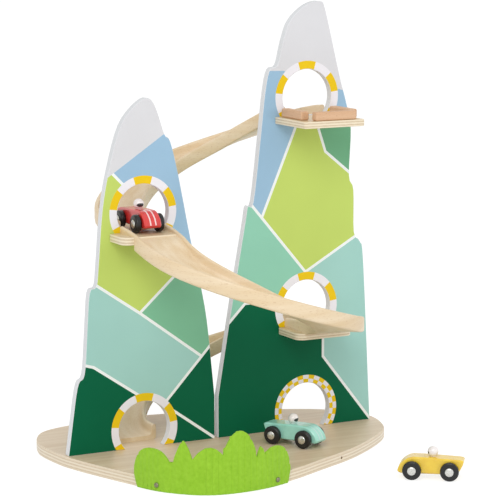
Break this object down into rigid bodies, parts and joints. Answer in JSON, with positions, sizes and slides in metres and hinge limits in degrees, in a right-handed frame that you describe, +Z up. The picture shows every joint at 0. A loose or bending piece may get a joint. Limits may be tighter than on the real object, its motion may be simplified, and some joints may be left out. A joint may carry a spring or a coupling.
{
  "type": "toy car run",
  "caption": "Free-standing wooden toy car run: two printed mountain panels on a shaped plate, curved troughs joining arched openings, small shelves, a felt bush and little rolling cars.",
  "frame": {"origin": "middle of the base plate's underside", "axes": "+X along the panels to the right as seen from the front, +Y to the back, +Z up"},
  "size_m": [0.4028, 0.4265, 0.5028],
  "materials": {
    "plate_ply": "clear lacquered birch plywood",
    "shelf_ply": "clear lacquered birch plywood",
    "paint_print": "satin print on plywood",
    "trough_wood": "steam-bent light hardwood, clear lacquer",
    "beech_block": "sanded beech",
    "felt": "green craft felt",
    "screw_steel": "small dome-headed screws",
    "red_paint": "red lacquered wood",
    "mint_paint": "mint lacquered wood",
    "yellow_paint": "yellow lacquered wood",
    "head_wood": "off-white lacquered turned bead",
    "pin_steel": "polished hub pins",
    "wheel_black": "black lacquered turned wheel"
  },
  "bodies": {
    "tower": {"base_plate": "plate_ply", "left_panel": "paint_print", "right_panel": "paint_print", "start_shelf": "shelf_ply", "fence_left": "beech_block", "fence_front": "beech_block", "fence_right": "beech_block", "left_shelf": "shelf_ply", "middle_shelf": "shelf_ply", "top_trough": "trough_wood", "front_trough": "trough_wood", "low_trough": "trough_wood", "felt_bush": "felt", "bush_screws": "screw_steel"},
    "red_car": {"red_body": "red_paint", "red_driver": "head_wood", "red_pins": "pin_steel"},
    "red_wheel_fl": {"red_wheel_fl": "wheel_black"},
    "red_wheel_fr": {"red_wheel_fr": "wheel_black"},
    "red_wheel_rl": {"red_wheel_rl": "wheel_black"},
    "red_wheel_rr": {"red_wheel_rr": "wheel_black"},
    "mint_car": {"mint_body": "mint_paint", "mint_driver": "head_wood", "mint_pins": "pin_steel"},
    "mint_wheel_fl": {"mint_wheel_fl": "wheel_black"},
    "mint_wheel_fr": {"mint_wheel_fr": "wheel_black"},
    "mint_wheel_rl": {"mint_wheel_rl": "wheel_black"},
    "mint_wheel_rr": {"mint_wheel_rr": "wheel_black"},
    "yellow_car": {"yellow_body": "yellow_paint", "yellow_driver": "head_wood", "yellow_pins": "pin_steel"},
    "yellow_wheel_fl": {"yellow_wheel_fl": "wheel_black"},
    "yellow_wheel_fr": {"yellow_wheel_fr": "wheel_black"},
    "yellow_wheel_rl": {"yellow_wheel_rl": "wheel_black"},
    "yellow_wheel_rr": {"yellow_wheel_rr": "wheel_black"}
  },
  "joints": [
    {"name": "red_roll", "type": "slide", "parent": "tower", "child": "red_car", "axis": [0, -1, 0], "range_m": [-0.006, 0.016]},
    {"name": "red_wheel_fl_spin", "type": "hinge", "parent": "red_car", "child": "red_wheel_fl", "pos_m": [-0.0879, 0.0096, 0.266], "axis": [1, 0, 0], "continuous": true},
    {"name": "red_wheel_fr_spin", "type": "hinge", "parent": "red_car", "child": "red_wheel_fr", "pos_m": [-0.1155, 0.0096, 0.266], "axis": [1, 0, 0], "continuous": true},
    {"name": "red_wheel_rl_spin", "type": "hinge", "parent": "red_car", "child": "red_wheel_rl", "pos_m": [-0.0879, 0.0501, 0.266], "axis": [1, 0, 0], "continuous": true},
    {"name": "red_wheel_rr_spin", "type": "hinge", "parent": "red_car", "child": "red_wheel_rr", "pos_m": [-0.1155, 0.0501, 0.266], "axis": [1, 0, 0], "continuous": true},
    {"name": "mint_roll", "type": "slide", "parent": "tower", "child": "mint_car", "axis": [0.4741, -0.8805, 0], "range_m": [-0.02, 0.02]},
    {"name": "mint_wheel_fl_spin", "type": "hinge", "parent": "mint_car", "child": "mint_wheel_fl", "pos_m": [0.07475, -0.05629, 0.0225], "axis": [0.8805, 0.4741, 0], "continuous": true},
    {"name": "mint_wheel_fr_spin", "type": "hinge", "parent": "mint_car", "child": "mint_wheel_fr", "pos_m": [0.05045, -0.06937, 0.0225], "axis": [0.8805, 0.4741, 0], "continuous": true},
    {"name": "mint_wheel_rl_spin", "type": "hinge", "parent": "mint_car", "child": "mint_wheel_rl", "pos_m": [0.05555, -0.02063, 0.0225], "axis": [0.8805, 0.4741, 0], "continuous": true},
    {"name": "mint_wheel_rr_spin", "type": "hinge", "parent": "mint_car", "child": "mint_wheel_rr", "pos_m": [0.03125, -0.03371, 0.0225], "axis": [0.8805, 0.4741, 0], "continuous": true},
    {"name": "yellow_roll", "type": "slide", "parent": "tower", "child": "yellow_car", "axis": [-0.7986, 0.6018, 0], "range_m": [-0.06, 0.05]},
    {"name": "yellow_wheel_fl_spin", "type": "hinge", "parent": "yellow_car", "child": "yellow_wheel_fl", "pos_m": [0.10852, -0.20383, 0.0105], "axis": [-0.6018, -0.7986, 0], "continuous": true},
    {"name": "yellow_wheel_fr_spin", "type": "hinge", "parent": "yellow_car", "child": "yellow_wheel_fr", "pos_m": [0.12513, -0.18179, 0.0105], "axis": [-0.6018, -0.7986, 0], "continuous": true},
    {"name": "yellow_wheel_rl_spin", "type": "hinge", "parent": "yellow_car", "child": "yellow_wheel_rl", "pos_m": [0.14087, -0.22821, 0.0105], "axis": [-0.6018, -0.7986, 0], "continuous": true},
    {"name": "yellow_wheel_rr_spin", "type": "hinge", "parent": "yellow_car", "child": "yellow_wheel_rr", "pos_m": [0.15748, -0.20617, 0.0105], "axis": [-0.6018, -0.7986, 0], "continuous": true}
  ],
  "couplings": [
    {"joint": "red_wheel_fl_spin", "follows": "red_roll", "rad_per_m": 98.039},
    {"joint": "red_wheel_fr_spin", "follows": "red_roll", "rad_per_m": 98.039},
    {"joint": "red_wheel_rl_spin", "follows": "red_roll", "rad_per_m": 98.039},
    {"joint": "red_wheel_rr_spin", "follows": "red_roll", "rad_per_m": 98.039},
    {"joint": "mint_wheel_fl_spin", "follows": "mint_roll", "rad_per_m": 98.039},
    {"joint": "mint_wheel_fr_spin", "follows": "mint_roll", "rad_per_m": 98.039},
    {"joint": "mint_wheel_rl_spin", "follows": "mint_roll", "rad_per_m": 98.039},
    {"joint": "mint_wheel_rr_spin", "follows": "mint_roll", "rad_per_m": 98.039},
    {"joint": "yellow_wheel_fl_spin", "follows": "yellow_roll", "rad_per_m": 98.039},
    {"joint": "yellow_wheel_fr_spin", "follows": "yellow_roll", "rad_per_m": 98.039},
    {"joint": "yellow_wheel_rl_spin", "follows": "yellow_roll", "rad_per_m": 98.039},
    {"joint": "yellow_wheel_rr_spin", "follows": "yellow_roll", "rad_per_m": 98.039}
  ]
}
